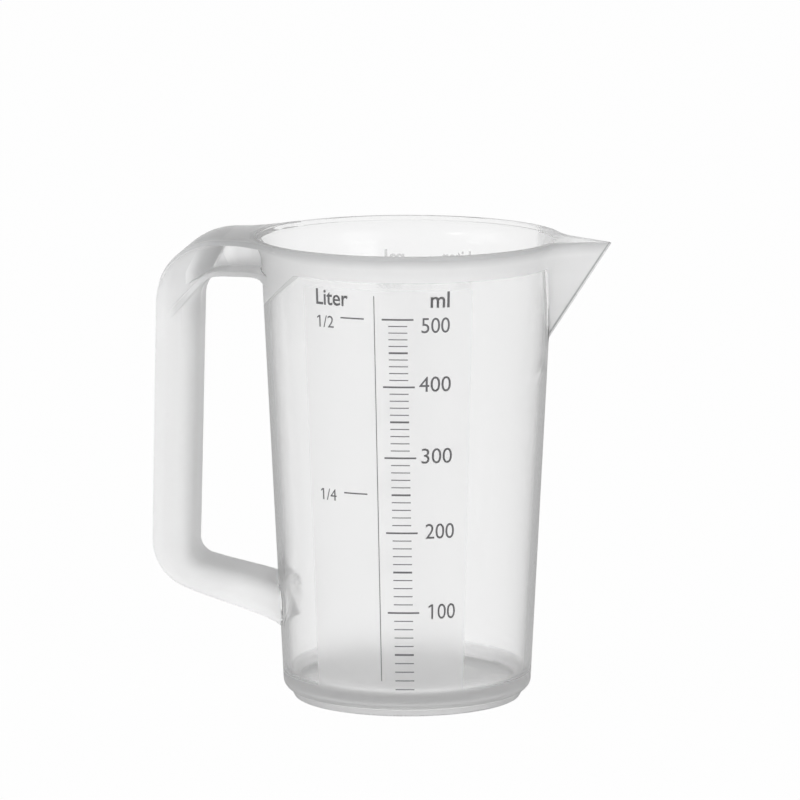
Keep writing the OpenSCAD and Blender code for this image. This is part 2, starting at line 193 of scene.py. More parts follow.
# The columns near the spout draw together at its creases, then each row is pulled out to the vee.
# The knots say at which angle from the tip a column comes to stand: four columns take the ridge's
# rounding, eight the flat wall, four the crease, four the way to 24 degrees, and the rest follow.
for v in bm.verts:
    r, z, kind = profile[v[row]]
    if kind == "keep" or z < SPOUT_FROM_Z:
        continue
    inside = kind == "in"
    angle = math.atan2(v.co.y, v.co.x)
    column = abs(angle) / math.radians(360 / COLS)
    edge = max(crease(z, inside), math.radians(3))
    soft = math.radians(1.1)
    first = min(math.radians(0.9), edge / 4)
    knots = [(0, 0), (4, first), (12, edge - soft), (16, edge + soft), (20, math.radians(24)),
             (COLS // 2, math.radians(180))]
    for (k0, a0), (k1, a1) in zip(knots, knots[1:]):
        if k0 <= column <= k1:
            aim = lerp(a0, a1, (column - k0) / (k1 - k0))
    aim = lerp(abs(angle), aim, ramp(z, SPOUT_FROM_Z, SPOUT_FULL_Z))
    # the rim falls a little towards the tip
    reach = FALL_X
    if aim < FALL_REACH:
        reach = max(vee_r(aim, H, inside) * math.cos(aim), FALL_X)
    fall = TIP_FALL * (reach - FALL_X) / FALL_RUN
    z -= fall * ramp(z, COLLAR_Z, LIP_Z) if z < LIP_Z else fall
    # and the creases are sharp on the wall and soft at the lip
    blend = lerp(CREASE_SOFT, CREASE_SOFT_LIP, ramp(z, COLLAR_Z - 0.3, COLLAR_Z + 3))
    if kind == "top":
        out = swell(LIP_R, vee_r(aim, z, False), blend) if aim < SPOUT_REACH else LIP_R
        ins = swell(LIP_IN_R, vee_r(aim, z, True), blend) if aim < SPOUT_REACH else LIP_IN_R
        r = lerp(ins, out, (r - LIP_IN_R) / (LIP_R - LIP_IN_R))
    elif aim < SPOUT_REACH:
        r = swell(r, vee_r(aim, z, inside), blend)
    aim = math.copysign(aim, angle)
    v.co = (r * math.cos(aim), r * math.sin(aim), z)
bmesh.ops.recalc_face_normals(bm, faces=bm.faces)
bmesh.ops.scale(bm, vec=(MM, MM, MM), verts=bm.verts)
vessel_mesh = bpy.data.meshes.new("vessel")
bm.to_mesh(vessel_mesh)
bm.free()
jug = bpy.data.objects.new("jug_moulding", vessel_mesh)
bpy.context.scene.collection.objects.link(jug)


# The handle grows out of the lip as an I section of two flanges on a web, which runs at the bend
# into a rounded tube: the grip, the lower bend and the lower arm, down to the wall. Each of these
# is drawn as a ring of points that is extruded from station to station, and all are united.
BEND_X, BEND_Z, BEND_R = -53.0, 116.7, 20.6       # the bend's outer curve: its middle and radius
BEND_IN_Z, BEND_IN_R = 117.8, 8.4                 # and its inner one
BEND_STEPS = 36
FLANGE_TOP = H - 0.02
FLANGE_T, FLANGE_ROUND = 1.7, 0.5
LOW_TOP, LOW_T, LOW_ROUND = 127.7, 1.5, 0.4       # the lower flange: upper face, thickness
GRIP_HALF, GRIP_ROUND = 12.5, 4.0                 # the grip's half width and its rounding
ROUND_STEPS = [0, 22.5, 45, 67.5, 90]             # degrees round each rounding
FLANK_ROWS = 16                                   # rows of faces on the tube's flanks


def mid_r(z):
    return (outer_r(z) + inner_r(z)) / 2


def ring(depth, half_o, half_i, round_o, round_i, side=None):
    """half a ring as (depth from the outer face, y), from the outer face's middle to the inner's;
    side gives the half width at a depth, where the flank is drawn in rows"""
    pts = [(0.0, 0.0), (0.0, (half_o - round_o) / 2)]
    for a in ROUND_STEPS:
        a = math.radians(a)
        pts.append((round_o * (1 - math.cos(a)), half_o - round_o + round_o * math.sin(a)))
    if side:
        for j in range(1, FLANK_ROWS):
            d = lerp(round_o, depth - round_i, j / FLANK_ROWS)
            pts.append((d, side(d)))
    for a in reversed(ROUND_STEPS):
        a = math.radians(a)
        pts.append((depth - round_i * (1 - math.cos(a)), half_i - round_i + round_i * math.sin(a)))
    return pts + [(depth, (half_i - round_i) / 2), (depth, 0.0)]


def whole(half, place):
    """a station: both halves of a ring, each point put in its place"""
    return [place(d, y) for d, y in half] + [place(d, -y) for d, y in reversed(half[1:-1])]


def extruded(bm, stations):
    """extrude a closed ring of points through its stations and close both ends"""
    number = bm.verts.layers.int.get("number") or bm.verts.layers.int.new("number")
    verts = [bm.verts.new(p) for p in stations[0]]
    for i, v in enumerate(verts):
        v[number] = i
    loop = [bm.edges.new((v, w)) for v, w in zip(verts, verts[1:] + verts[:1])]
    bmesh.ops.contextual_create(bm, geom=loop)
    for station in stations[1:]:
        made = bmesh.ops.extrude_edge_only(bm, edges=loop)["geom"]
        verts = {g for g in made if isinstance(g, bmesh.types.BMVert)}
        loop = [g for g in made if isinstance(g, bmesh.types.BMEdge) and set(g.verts) <= verts]
        for v in verts:
            v.co = station[v[number]]
    bmesh.ops.contextual_create(bm, geom=loop)
    bmesh.ops.recalc_face_normals(bm, faces=bm.faces)


def unite(stations):
    """join one part of the handle to the jug"""
    bm = bmesh.new()
    extruded(bm, stations)
    bmesh.ops.triangulate(bm, faces=[f for f in bm.faces if len(f.verts) > 4])
    bmesh.ops.scale(bm, vec=(MM, MM, MM), verts=bm.verts)
    mesh = bpy.data.meshes.new("part_of_handle")
    bm.to_mesh(mesh)
    bm.free()
    part = bpy.data.objects.new("part_of_handle", mesh)
    bpy.context.scene.collection.objects.link(part)
    join = jug.modifiers.new("join", "BOOLEAN")
    join.operation = "UNION"
    join.solver = "MANIFOLD"
    join.object = part
    bpy.context.view_layer.update()
    done = jug.evaluated_get(bpy.context.evaluated_depsgraph_get())
    joined = bpy.data.meshes.new_from_object(done)
    jug.modifiers.clear()
    jug.data = joined
    bpy.data.objects.remove(part)


def bend(t):
    """outer and inner point of the bend, from the arm (0) round to the grip (1)"""
    a = math.radians(90 + 90 * t)
    return ((BEND_X + BEND_R * math.cos(a), BEND_Z + BEND_R * math.sin(a)),
            (BEND_X + BEND_IN_R * math.cos(a), BEND_IN_Z + BEND_IN_R * math.sin(a)))


def through(knots, x):
    """a smooth curve through knots of (x, y), x rising"""
    for i in range(len(knots) - 1):
        if x <= knots[i + 1][0] or i == len(knots) - 2:
            (x0, y0), (x1, y1) = knots[i], knots[i + 1]
            xa, ya = knots[max(i - 1, 0)]
            xb, yb = knots[min(i + 2, len(knots) - 1)]
            t = min(max((x - x0) / (x1 - x0), 0), 1)
            m0 = (y1 - ya) / (x1 - xa) * (x1 - x0)
            m1 = (yb - y0) / (xb - x0) * (x1 - x0)
            return ((2 * t ** 3 - 3 * t ** 2 + 1) * y0 + (t ** 3 - 2 * t ** 2 + t) * m0
                    + (3 * t ** 2 - 2 * t ** 3) * y1 + (t ** 3 - t ** 2) * m1)


def rooted(t, xe, ye, z, y):
    """x of a point on a cross line of a flange, which bows like the wall at its root"""
    rm = mid_r(z)
    ye = min(ye, rm - 0.1)
    f = min(abs(y) / ye, 1.0)
    centre = lerp(-rm, BEND_X, t)
    bow = (rm - math.sqrt(rm * rm - (f * ye) ** 2)) / (rm - math.sqrt(rm * rm - ye ** 2))
    return lerp(centre, xe if t > 0 else -math.sqrt(rm * rm - ye ** 2), bow)


# top flange: its edges, x and half width, leave the lip in a long curve
edge_line = [(-34.4, 29.2), (-35.9, 28.9), (-38.4, 26.3), (-40.8, 23.6), (-43.2, 21.1),
             (-45.6, 19.0), (-48.0, 17.6), (-50.4, 16.8), (-53.0, 16.5)]
stations = []
for i, (xe, ye) in enumerate(edge_line):
    t = i / (len(edge_line) - 1)
    half = ring(FLANGE_T, ye, ye, FLANGE_ROUND, FLANGE_ROUND)
    stations.append(whole(half, lambda d, y: (rooted(t, xe, ye, FLANGE_TOP - d, y), y,
                                              FLANGE_TOP - d)))
# it thins as it goes round the bend, narrows to the grip and sinks into it: its half width by the
# share of the bend
flange_half = [(0, 16.5), (0.22, 15.7), (0.45, 14.2), (0.6, 12.6), (0.75, 10.8), (0.88, 9.3),
               (1, 8.4)]
FLANGE_END_T, FLANGE_SINK = 0.7, 0.4
for i in range(1, BEND_STEPS + 1):
    t = i / BEND_STEPS
    (ox, oz), (ix, iz) = bend(t)
    m = math.hypot(ix - ox, iz - oz)
    ux, uz = (ix - ox) / m, (iz - oz) / m
    sink = 0.02 + FLANGE_SINK * ramp(t, 0.7, 1)
    w = through(flange_half, t)
    thin = lerp(FLANGE_T, FLANGE_END_T, ramp(t, 0.15, 0.75))
    half = ring(thin, w, w, 0.45 * thin / FLANGE_T + 0.1, 0.4 * thin / FLANGE_T)
    stations.append(whole(half, lambda d, y: (ox + ux * (d + sink), y, oz + uz * (d + sink))))
unite(stations)

# lower flange: filleted to the wall, it follows the opening and then runs out as a rib down the
# flank of the bend
low_line = [(-38.2, 18.0), (-39.5, 17.4), (-40.8, 16.8), (-42.2, 16.1), (-44.0, 15.5),
            (-46.2, 14.9), (-48.4, 14.6), (-50.6, 14.5), (-53.0, 14.4)]
ROOT_R, ROOT_WIDE, ROOT_DEEP = 42.4, 4.3, 3.7     # the fillet: where it begins, and its two sides


def under(x, y):
    """how far the fillet reaches below the flange"""
    gap = min(max(0.0, math.hypot(x, y) - ROOT_R), ROOT_WIDE)
    return ROOT_DEEP * (1 - gap / ROOT_WIDE) ** 2.5


stations = []
for i, (xe, ye) in enumerate(low_line):
    t = i / (len(low_line) - 1)

    def place(d, y):
        z = LOW_TOP - d
        x = rooted(t, xe, ye, z, y)
        # the fillet takes the whole lower face with it, and of the upper one only the corners
        share = 1.0 if d > LOW_T / 2 else 0.3 * (y / ye) ** 4
        return (x, y, z - share * under(x, y))

    stations.append(whole(ring(LOW_T, ye, ye, LOW_ROUND, LOW_ROUND), place))
# the rib's middle line, x and height, and its half widths
rib_line = [(-53.0, 126.95), (-55.5, 126.75), (-57.6, 126.0), (-59.4, 124.7), (-61.2, 122.9),
            (-63.2, 120.7), (-65.4, 118.2), (-67.4, 115.9), (-69.2, 113.8), (-70.6, 112.2)]
rib_half = [14.4, 14.2, 13.9, 13.6, 13.35, 13.15, 12.95, 12.75, 12.5, 12.2]
RIB_GROWTH = 1.2        # what its thickness gains as it runs out
for i in range(1, len(rib_line)):
    (xa, za), (xb, zb) = rib_line[i - 1], rib_line[min(i + 1, len(rib_line) - 1)]
    m = math.hypot(xb - xa, zb - za)
    nx, nz = -(zb - za) / m, (xb - xa) / m
    if nz < 0:
        nx, nz = -nx, -nz
    x, z = rib_line[i]
    w = rib_half[i]
    t = LOW_T + RIB_GROWTH * (i / len(rib_line)) ** 2
    half = ring(t, w, w, LOW_ROUND, LOW_ROUND)
    stations.append(whole(half, lambda d, y: (x + nx * (t / 2 - d), y, z + nz * (t / 2 - d))))
unite(stations)

# web between the flanges, from within the wall to within the bend
WEB_HALF, WEB_Z, WEB_TOP = 1.0, 126.6, H - 0.8
stations = []
for low_x, top_x, top_z in ((-mid_r(WEB_Z), -mid_r(WEB_TOP), WEB_TOP), (-50.0, -50.0, WEB_TOP),
                            (-60.5, -60.5, H - 2.2)):
    stations.append([(low_x, -WEB_HALF, WEB_Z), (low_x, WEB_HALF, WEB_Z),
                     (top_x, WEB_HALF, top_z), (top_x, -WEB_HALF, top_z)])
unite(stations)


# tube: it begins at the web in a steep, rounded end between the flanges
START_X, START_Z, START_LEAN = -57.6, 127.0, 0.515      # where it begins above the lower flange
LOW_START_X = -54.0                                     # and below it and the rib
RIB_Z, RIB_SLOPE, RIB_TOP_Z = 126.0, 1.05, 126.3        # the rib's line: height, slope, upper end
START_RUN, START_HALF = 8.0, 0.9                        # its rounding's length, and first half width


def flank(x, z):
    """half the tube's width at a place in the bend"""
    start = START_X + START_LEAN * max(z - START_Z, 0.0)
    if z < min(RIB_Z + RIB_SLOPE * (x - START_X), RIB_TOP_Z):
        start = LOW_START_X
    s = min(max((start - x) / START_RUN, 0.0), 1.0)
    return lerp(START_HALF, GRIP_HALF, 1 - (1 - s) ** 3)


# pairs of an outer and an inner point down the bend, the grip, the lower bend and the lower arm
GRIP_X, GRIP_DEPTH = -75.1, 11.8        # the grip's outer face and its depth, at the lower end
# the lower bend's outer curve, and its inner one: middle, radius, and how many degrees it turns
ELBOW_Z, ELBOW_R, ELBOW_TURN = 46.5, 15.5, 67
ELBOW_IN_Z, ELBOW_IN_R, ELBOW_IN_TURN = 44.4, 5.0, 73.2
ELBOW_X, ELBOW_IN_X = GRIP_X + ELBOW_R, GRIP_X + GRIP_DEPTH + ELBOW_IN_R
ARM_FALL, ARM_IN_FALL = math.radians(23), math.radians(16.8)    # the lower arm's two slopes
ARM_END_X, ARM_IN_END_X = -35.0, -36.0                  # and where it ends, within the wall
GRIP_STEPS, ELBOW_STEPS, ARM_STEPS = 16, 16, 8
pairs = [bend(i / BEND_STEPS) for i in range(BEND_STEPS + 1)]
bend_count = len(pairs)
for i in range(1, GRIP_STEPS + 1):
    t = i / GRIP_STEPS
    pairs.append(((lerp(BEND_X - BEND_R, GRIP_X, t), lerp(BEND_Z, ELBOW_Z, t)),
                  (lerp(BEND_X - BEND_IN_R, GRIP_X + GRIP_DEPTH, t),
                   lerp(BEND_IN_Z, ELBOW_IN_Z, t))))
for i in range(1, ELBOW_STEPS + 1):
    a = math.radians(180 + ELBOW_TURN * (i / ELBOW_STEPS))
    b = math.radians(180 + ELBOW_IN_TURN * (i / ELBOW_STEPS))
    pairs.append(((ELBOW_X + ELBOW_R * math.cos(a), ELBOW_Z + ELBOW_R * math.sin(a)),
                  (ELBOW_IN_X + ELBOW_IN_R * math.cos(b), ELBOW_IN_Z + ELBOW_IN_R * math.sin(b))))
(sx, sz), (tx, tz) = pairs[-1]
arm_first = len(pairs)
for i in range(1, ARM_STEPS + 1):
    x0, x1 = lerp(sx, ARM_END_X, i / ARM_STEPS), lerp(tx, ARM_IN_END_X, i / ARM_STEPS)
    pairs.append(((x0, sz - (x0 - sx) * math.tan(ARM_FALL)),
                  (x1, tz - (x1 - tx) * math.tan(ARM_IN_FALL))))

UNDER_OUTER, UNDER_INNER = 0.35, 0.06       # how far the tube starts under the flanges' skins
stations = []
for i, ((ox, oz), (ix, iz)) in enumerate(pairs):
    depth = math.hypot(ox - ix, oz - iz)
    last = max(0.0, (i - arm_first + 1) / (len(pairs) - arm_first))
    t = min(i / bend_count, 1.0)
    if i < bend_count:
        # it comes flush with the grip along the bend
        deep = UNDER_OUTER * (1 - ramp(t, 0.3, 0.95))
        shallow = UNDER_INNER * (1 - ramp(t, 0.1, 0.4))
        ux, uz = (ix - ox) / depth, (iz - oz) / depth
        ox, oz, ix, iz = ox + ux * deep, oz + uz * deep, ix - ux * shallow, iz - uz * shallow
        depth -= deep + shallow
        half_o, half_i = flank(ox, oz), flank(ix, iz)
    else:
        half_o, half_i = GRIP_HALF, GRIP_HALF
    # with small roundings at first, and the grip's at last
    round_o = min(lerp(1.5, GRIP_ROUND, ramp(t, 0.4, 0.9)), 0.8 * half_o)
    round_i = min(lerp(0.9, GRIP_ROUND, ramp(t, 0.25, 0.85)), 0.8 * half_i)

    def side(d):
        if i < bend_count:
            return flank(lerp(ox, ix, d / depth), lerp(oz, iz, d / depth))
        return GRIP_HALF

    def place(d, y):
        """the arm's end follows the round of the wall"""
        x, z = lerp(ox, ix, d / depth), lerp(oz, iz, d / depth)
        rm = mid_r(z)
        return (lerp(x, -math.sqrt(rm * rm - y * y), last ** 2) if last > 0 else x, y, z)

    half = ring(depth, half_o, half_i, round_o, round_i, side)
    stations.append(whole(half, place))
# the end is drawn together within the wall, so that its face is round too
for k in (0.7, 0.35, 0.04):
    stations.append(whole(half, lambda d, y: place(lerp(depth / 2, d, k), y * k)))
unite(stations)

# the gas leaves a hollow from the end of the bend to short of the wall: a closed skin whose faces
# point into it, drawn in at both ends
SKIN, HOLLOW_ROUND = 2.4, 1.8
DRAWN_IN = (1.8, 0.8, 0.3, 0.1)
HOLLOW_FROM, HOLLOW_TO = bend_count - 2, len(pairs) - 5
chain = pairs[HOLLOW_FROM:HOLLOW_TO]
stations = []
for i, ((ox, oz), (ix, iz)) in enumerate(chain):
    m = math.hypot(ix - ox, iz - oz)
    ux, uz = (ix - ox) / m, (iz - oz) / m
    end = min(i, len(chain) - 1 - i)
    inset = SKIN + DRAWN_IN[end] if end < len(DRAWN_IN) else SKIN
    half = ring(m - 2 * inset, GRIP_HALF - inset, GRIP_HALF - inset, HOLLOW_ROUND, HOLLOW_ROUND)
    stations.append(whole(half, lambda d, y: (ox + ux * (d + inset), y, oz + uz * (d + inset))))
skin = bmesh.new()
extruded(skin, stations)
bmesh.ops.scale(skin, vec=(MM, MM, MM), verts=skin.verts)
bmesh.ops.reverse_faces(skin, faces=skin.faces)
hollow_mesh = bpy.data.meshes.new("hollow")
skin.to_mesh(hollow_mesh)
skin.free()

bm = bmesh.new()
bm.from_mesh(jug.data)
bm.from_mesh(hollow_mesh)
bmesh.ops.remove_doubles(bm, verts=bm.verts, dist=5e-5)
bmesh.ops.dissolve_degenerate(bm, dist=1e-6, edges=bm.edges)
bmesh.ops.triangulate(bm, faces=[f for f in bm.faces if len(f.verts) > 4])
SHARP = math.radians(32)
for f in bm.faces:
    f.smooth = True
for e in bm.edges:
    if len(e.link_faces) == 2 and e.calc_face_angle(0) > SHARP:
        e.smooth = False
bm.to_mesh(jug.data)
bm.free()


def rgb(hex_code):
    """an sRGB colour as the linear one that a shader takes"""
    parts = [int(hex_code[i:i + 2], 16) / 255 for i in (0, 2, 4)]
    return tuple(c / 12.92 if c <= 0.04045 else ((c + 0.055) / 1.055) ** 2.4 for c in parts) + (1,)


def node(kind, inputs=(), **settings):
    """add a node to the tree in hand; its inputs, by place or by name, are values, sockets, or
    nodes whose first output is meant"""
    made = tree.nodes.new("ShaderNode" + kind)
    for key, value in settings.items():
        setattr(made, key, value)
    for socket, source in inputs.items() if isinstance(inputs, dict) else enumerate(inputs):
        if isinstance(source, bpy.types.Node):
            source = source.outputs[0]
        if isinstance(source, bpy.types.NodeSocket):
            tree.links.new(source, made.inputs[socket])
        else:
            made.inputs[socket].default_value = source
    return made


def zone(*limits):
    """1 where all the limits hold and 0 elsewhere: a limit is another zone, or a value with the
    level at which it is still out and the one from which it is in"""
    within = 1.0
    for limit in limits:
        if isinstance(limit, tuple):
            limit = node("MapRange", limit)
        within = node("Math", (within, limit), operation="MULTIPLY")
    return within


def either(*zones):
    """1 where any of the zones is"""
    within = zones[0]
    for other in zones[1:]:
        within = node("Math", (within, other), operation="MAXIMUM")
    return within


# Natural polypropylene: clear enough to see through where the mould is polished, milky where it
# is spark eroded, and finely etched behind the scales so that the ink holds. How clear and how
# rough each part is, is chosen by its place on the jug. From here on, places are in metres.
polypropylene = bpy.data.materials.new("natural_polypropylene")
polypropylene.use_nodes = True
tree = polypropylene.node_tree
tree.nodes.clear()
# the plastic's own colour, and the grey that is mixed into it as painted shade
PLASTIC, PAINTED_SHADE_GREY = rgb("fdfdfd"), rgb("9e9fa0")
WALL_CLEAR, UPPER_WALL_CLEAR, WALL_ROUGH = 0.99, 0.90, 0.08
PANEL_CLEAR, PANEL_ROUGH = 0.92, 0.34
FILLET_CLEAR, BASE_CLEAR, BASE_ROUGH = 0.60, 0.85, 0.40
GRIP_CLEAR, MATT_CLEAR, MATT_ROUGH = 0.15, 0.50, 0.55
WEB_CLEAR, WEB_ROUGH = 0.85, 0.40
IOR = 1.49
SCATTER_LENGTH = 0.006
ABSORPTION = 3.0

coords = node("TexCoord")
x, y, z = node("SeparateXYZ", (coords.outputs["Object"],)).outputs
sideways = node("Math", (y,), operation="ABSOLUTE")
flat = node("CombineXYZ", (x, y, 0.0))
radius = node("VectorMath", (flat,), operation="LENGTH").outputs["Value"]
outward = node("VectorMath", (flat, coords.outputs["Normal"]),
               operation="DOT_PRODUCT").outputs["Value"]
outside = zone((outward, -0.002, 0.002))
cone = node("Math", (z, TAPER, FOOT_R * MM), operation="MULTIPLY_ADD")
proud = node("Math", (radius, cone), operation="SUBTRACT")


def plane(point, direction):
    """the distance from the plane that is square to a direction at a point"""
    offset = node("VectorMath", (coords.outputs["Object"], point), operation="SUBTRACT")
    return node("VectorMath", (offset, direction), operation="DOT_PRODUCT").outputs["Value"]


# the handle is what stands proud of the wall's cone on its side, less the flare and the lip
FLARE_PROUD = 0.0028
flare = node("Math", (zone((z, 0.1290, 0.1296)), FLARE_PROUD), operation="MULTIPLY")
beyond = node("Math", (proud, flare), operation="SUBTRACT")
handle_zone = zone((beyond, 0.0002, 0.0006), (x, -0.028, -0.030))
# its upper arm is thinner than the grip, and the web is the thinnest part of it
arm_zone = zone((x, -0.070, -0.056), (z, 0.106, 0.116))
web_zone = zone(handle_zone, (sideways, 0.0018, 0.0012), (x, -0.0592, -0.0584),
                (z, 0.1266, 0.1274), (z, 0.1364, 0.1358))
# the collar's matt skin dips below the flange at the handle's root, and covers the spout
DIP_Z, DIP_RISE, DIP_WIDE, DIP_CURVE = 0.1165, 0.013, 0.0317, 2.2
across = node("Math", (sideways, DIP_WIDE), operation="DIVIDE")
curve = node("Math", (across, DIP_CURVE), operation="POWER")
dip = node("Math", (curve, DIP_RISE, DIP_Z), operation="MULTIPLY_ADD")
over_dip = node("Math", (z, dip), operation="SUBTRACT")
dip_zone = zone(outside, (over_dip, -0.0001, 0.0001), (x, -0.020, -0.022))
spout_zone = zone((proud, 0.0001, 0.0005), (x, 0.036, 0.038), (z, 0.100, 0.106))
collar_zone = either(zone((z, 0.1292, 0.1294), outside), dip_zone, spout_zone)
# the foot ring and the heel are etched, and so is the fillet round the floor inside
base_zone = either(zone((z, 0.0060, 0.0056)), zone((z, 0.0104, 0.0064), outside))
fillet_zone = zone((z, 0.0096, 0.0088), (radius, 0.0310, 0.0325), (outward, 0.002, -0.002))
# the panel behind each scale, with its angle measured from the middle of the front or the back
angle = node("Math", (x, sideways), operation="ARCTAN2")
panel_zone = zone((angle, -0.66, -0.64), (angle, 0.60, 0.58), (z, 0.1292, 0.1262),
                  (z, 0.004, 0.006), outside, (proud, -0.0006, -0.0002))

clear = node("Mix", {"Factor": zone((z, 0.06, 0.125)), "A": WALL_CLEAR, "B": UPPER_WALL_CLEAR})
rough = WALL_ROUGH
handle_clear = node("Mix", {"Factor": arm_zone, "A": GRIP_CLEAR, "B": MATT_CLEAR})
for part, part_rough, part_clear in (
        (panel_zone, PANEL_ROUGH, PANEL_CLEAR), (fillet_zone, BASE_ROUGH, FILLET_CLEAR),
        (base_zone, BASE_ROUGH, BASE_CLEAR), (collar_zone, MATT_ROUGH, MATT_CLEAR),
        (handle_zone, MATT_ROUGH, handle_clear), (web_zone, WEB_ROUGH, WEB_CLEAR)):
    rough = node("Mix", {"Factor": part, "A": rough, "B": part_rough})
    clear = node("Mix", {"Factor": part, "A": clear, "B": part_clear})
# light that is inside the plastic already leaves it through the skin without being scattered again
backfacing = node("NewGeometry").outputs["Backfacing"]
front = node("Math", (1.0, backfacing), operation="SUBTRACT")
clear = node("Mix", {"Factor": front, "A": 1.0, "B": clear})

# The plastic's colour is painted greyer, as shade, where the jug looks darker seen edge on or where
# it is thick:
# on the upright edges of the lip and the top flange, on the rib and the spout's ridge, and at the
# handle's root.
normal_z = node("SeparateXYZ", (coords.outputs["Normal"],)).outputs[2]
upright = zone((node("Math", (normal_z,), operation="ABSOLUTE"), 0.80, 0.70))
lip_edge = zone((z, 0.1322, 0.1366), outside)
back = node("Math", (BEND_X * MM, x), operation="SUBTRACT")
rise = node("Math", (z, BEND_Z * MM), operation="SUBTRACT")
flange_edge = zone((z, 0.1354, 0.1359), (back, 0.0002, 0.0), handle_zone)
# round the bend, the flange's edge is the outermost part of it, and gets thinner with the turn
turn = node("Math", (back, rise), operation="ARCTAN2")
swing = node("VectorMath", (node("CombineXYZ", (back, 0.0, rise)),),
             operation="LENGTH").outputs["Value"]
EDGE_T, EDGE_END = 0.0018, math.radians(75)
edge_low = node("Math", (turn, EDGE_T / EDGE_END, BEND_R * MM - EDGE_T),
                operation="MULTIPLY_ADD")
past_low = node("Math", (swing, edge_low), operation="SUBTRACT")
bend_edge = zone((past_low, -0.0002, 0.0001), (back, 0.0, 0.0002),
                 (turn, math.radians(76), math.radians(70)), (z, 0.118, 0.120))
narrow_edge = zone(either(bend_edge, flange_edge, lip_edge), upright)
# the rib and the ridge each lie along a leaning plane, and the ridge's painted shade is two lines
from_rib = node("Math", (plane((-0.0576, 0.0, 0.126), (-0.725, 0.0, 0.689)),),
                operation="ABSOLUTE")
rib_edge = zone((from_rib, 0.0012, 0.0008), (x, -0.0700, -0.0670), (x, -0.056, -0.0576),
                handle_zone)
in_ridge = plane((0.0428, 0.0, 0.1077), (-0.84, 0.0, 0.84 * 0.645))
ridge_line = zone((in_ridge, 0.0008, 0.0005))
second_line = zone((in_ridge, 0.0010, 0.0012), (in_ridge, 0.0018, 0.0014))
ridge_edge = zone(either(ridge_line, second_line), spout_zone)
# painted shade also at the root of the upper arm, on the flare under the lip, and at the tube's steep
# end at the web
root = zone((x, -0.015, -0.040), (z, 0.108, 0.126), outside)
under_lip = zone((z, 0.1270, 0.1320), outside)
over_arm = node("Math", (z, START_Z * MM), operation="SUBTRACT")
above = node("Math", (over_arm, 0.0), operation="MAXIMUM")
lean = node("Math", (above, -START_LEAN, x), operation="MULTIPLY_ADD")
tube_end = zone((x, -0.0680, -0.0600), (lean, -0.0562, -0.0570), (z, 0.112, 0.124),
                (sideways, 0.0012, 0.0020), (z, 0.1352, 0.1335))
# each with its share of the painted shade's grey
shade = 0.0
for part, share in ((narrow_edge, 0.72), (rib_edge, 0.36), (ridge_edge, 1.0), (root, 0.40),
                    (under_lip, 0.16), (tube_end, 0.42)):
    shade = either(node("Math", (part, share), operation="MULTIPLY"), shade)
# painted shade: the plastic's colour, greyed by these shares on faces seen from outside the plastic
painted_shade_tone = node("Mix", {"Factor": zone(shade, front), "A": PLASTIC, "B": PAINTED_SHADE_GREY},
            data_type="RGBA")

surface = node("BsdfPrincipled", {
    "Base Color": painted_shade_tone.outputs[2], "Roughness": rough, "IOR": IOR, "Transmission Weight": clear,
    "Subsurface Weight": 1.0, "Subsurface Radius": (1.0, 1.0, 1.0),
    "Subsurface Scale": SCATTER_LENGTH})
absorb = node("VolumeAbsorption", {"Color": (0.0, 0.0, 0.0, 1), "Density": ABSORPTION})
node("OutputMaterial", {"Surface": surface, "Volume": absorb})
jug.data.materials.clear()
jug.data.materials.append(polypropylene)
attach(jug, "root")
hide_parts("foot_ring", "base", "side_wall", "collar", "rim_lip", "spout",
            "handle_top_flange", "handle_web", "handle_lower_flange", "handle_bend",
            "handle_grip", "handle_elbow", "handle_lower_arm")


# The printed scales: a thin coat of matt grey ink on the wall. Its inner side lies on the finely
# etched plastic, so it is pale where it is seen from inside the jug, and it is thin enough there
# to let the light behind it through.
ink = bpy.data.materials.new("grey_ink")
ink.use_nodes = True
tree = ink.node_tree
tree.nodes.clear()
INK, INK_FROM_INSIDE = rgb("69696b"), rgb("f4f4f6")
INK_ROUGH = 0.6
LET_THROUGH = 0.75
coords = node("TexCoord")
flat = node("VectorMath", (coords.outputs["Object"], (1.0, 1.0, 0.0)), operation="MULTIPLY")
outward = node("VectorMath", (flat, coords.outputs["Normal"]),
               operation="DOT_PRODUCT").outputs["Value"]
inner_side = zone((outward, 0.010, -0.010))
shade = node("Mix", {"Factor": inner_side, "A": INK, "B": INK_FROM_INSIDE}, data_type="RGBA")
hidden = either(inner_side, node("NewGeometry").outputs["Backfacing"])
cover = node("Math", (hidden, -LET_THROUGH, 1.0), operation="MULTIPLY_ADD")
surface = node("BsdfPrincipled", {
    "Base Color": shade.outputs[2], "Roughness": INK_ROUGH, "Alpha": cover})
node("OutputMaterial", {"Surface": surface})
for name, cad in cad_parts.items():
    if name.endswith("marks") or name.endswith("divider"):
        cad.data.materials.clear()
        cad.data.materials.append(ink)


